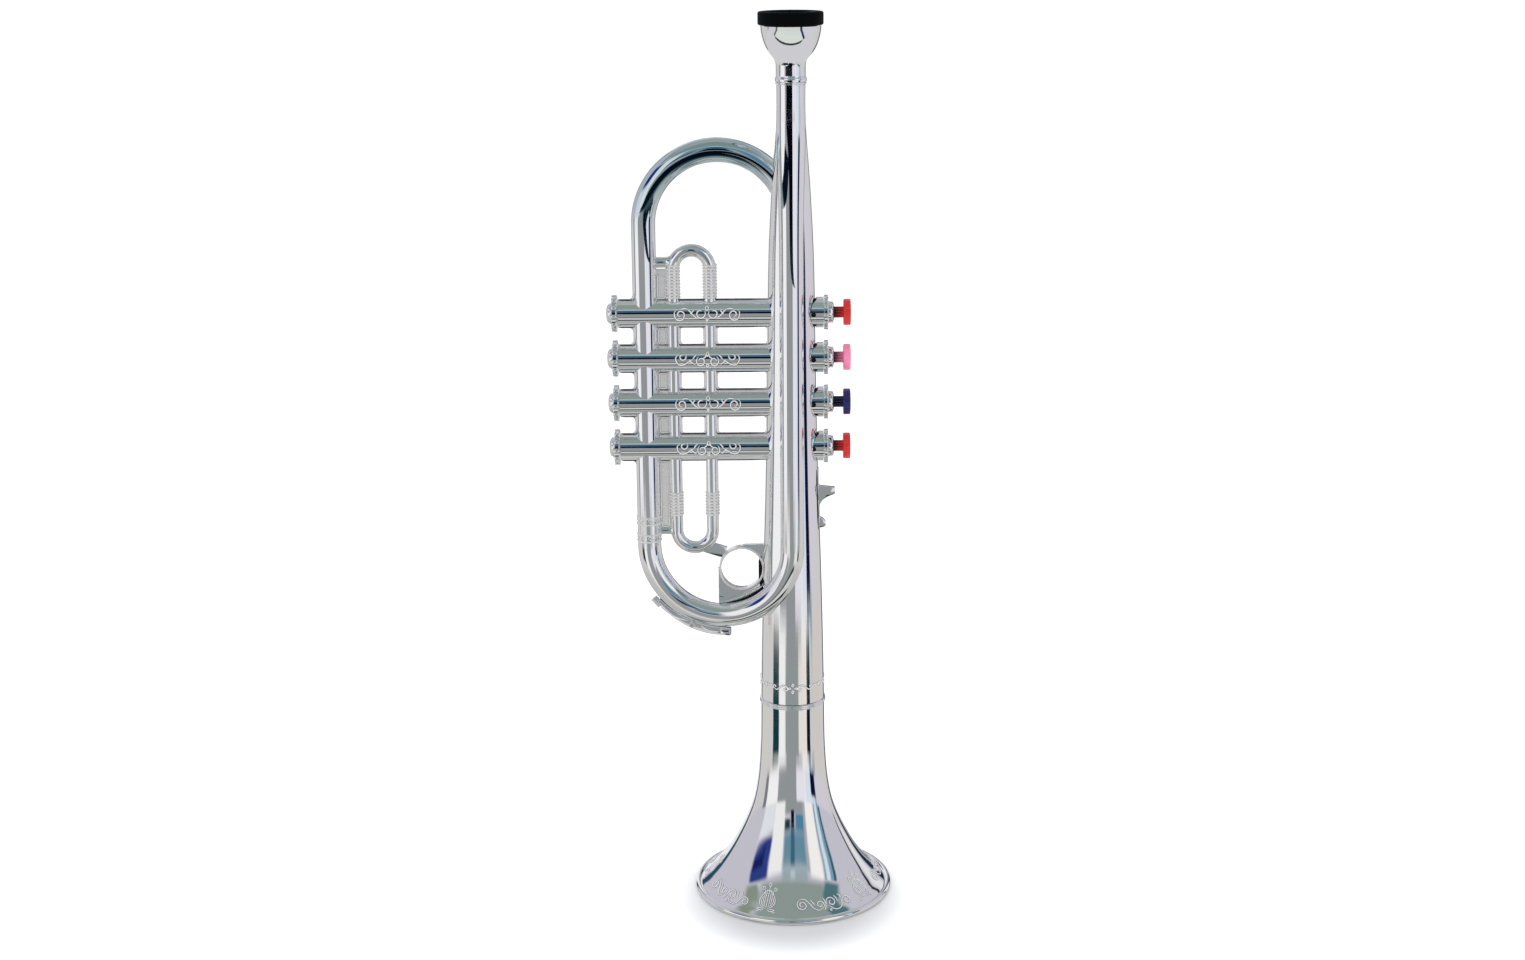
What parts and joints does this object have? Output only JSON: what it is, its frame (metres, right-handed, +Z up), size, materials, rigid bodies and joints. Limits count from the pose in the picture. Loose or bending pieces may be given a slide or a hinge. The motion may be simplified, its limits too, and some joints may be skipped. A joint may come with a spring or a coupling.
{
  "type": "toy trumpet",
  "caption": "Toy trumpet of chrome-plated plastic standing on its bell, with a side loop, push-button valves across it, a finger ring and a black-rimmed mouthpiece.",
  "frame": {"origin": "the centre of the bounding box on the surface that the bell stands on", "axes": "+Z up along the bell tube to the mouthpiece, +X to the push buttons, +Y away from the viewer"},
  "size_m": [0.1324, 0.0954, 0.4196],
  "materials": {
    "chrome_plating": "bright mirror chrome plating on moulded plastic",
    "black_rim": "satin black plastic",
    "red_button": "glossy red plastic",
    "pink_button": "glossy pink plastic",
    "navy_button": "glossy navy plastic",
    "white_plastic": "moulded off-white plastic",
    "pad_rubber": "matt black rubber",
    "spring_steel": "bright drawn wire",
    "reed_brass": "bright rolled brass"
  },
  "bodies": {
    "trumpet": {"bell": "chrome_plating", "body_front_half": "chrome_plating", "body_back_half": "chrome_plating", "mouthpiece_cup": "chrome_plating", "mouthpiece_rim": "black_rim", "water_key": "chrome_plating", "finger_hook": "chrome_plating", "bottom_cap_1": "chrome_plating", "bottom_cap_2": "chrome_plating", "bottom_cap_3": "chrome_plating", "bottom_cap_4": "chrome_plating", "head_sleeve_1": "chrome_plating", "head_sleeve_2": "chrome_plating", "head_sleeve_3": "chrome_plating", "head_sleeve_4": "chrome_plating", "top_cap_1": "chrome_plating", "top_cap_2": "chrome_plating", "top_cap_3": "chrome_plating", "top_cap_4": "chrome_plating", "return_spring_1": "spring_steel", "return_spring_2": "spring_steel", "return_spring_3": "spring_steel", "return_spring_4": "spring_steel", "valve_seat_1": "white_plastic", "valve_seat_2": "white_plastic", "valve_seat_3": "white_plastic", "valve_seat_4": "white_plastic", "reed_block_1": "white_plastic", "reed_block_2": "white_plastic", "reed_block_3": "white_plastic", "reed_block_4": "white_plastic", "reed_1": "reed_brass", "reed_2": "reed_brass", "reed_3": "reed_brass", "reed_4": "reed_brass"},
    "key_1": {"button_1": "red_button", "valve_pad_1": "pad_rubber"},
    "key_2": {"button_2": "pink_button", "valve_pad_2": "pad_rubber"},
    "key_3": {"button_3": "navy_button", "valve_pad_3": "pad_rubber"},
    "key_4": {"button_4": "red_button", "valve_pad_4": "pad_rubber"}
  },
  "joints": [
    {"name": "press_1", "type": "slide", "parent": "trumpet", "child": "key_1", "axis": [-1, 0, 0], "range_m": [0, 0.0035], "stiffness_N_per_m": 350, "springref_m": -0.003, "deforming": ["return_spring_1"]},
    {"name": "press_2", "type": "slide", "parent": "trumpet", "child": "key_2", "axis": [-1, 0, 0], "range_m": [0, 0.0035], "stiffness_N_per_m": 350, "springref_m": -0.003, "deforming": ["return_spring_2"]},
    {"name": "press_3", "type": "slide", "parent": "trumpet", "child": "key_3", "axis": [-1, 0, 0], "range_m": [0, 0.0035], "stiffness_N_per_m": 350, "springref_m": -0.003, "deforming": ["return_spring_3"]},
    {"name": "press_4", "type": "slide", "parent": "trumpet", "child": "key_4", "axis": [-1, 0, 0], "range_m": [0, 0.0035], "stiffness_N_per_m": 350, "springref_m": -0.003, "deforming": ["return_spring_4"]}
  ]
}
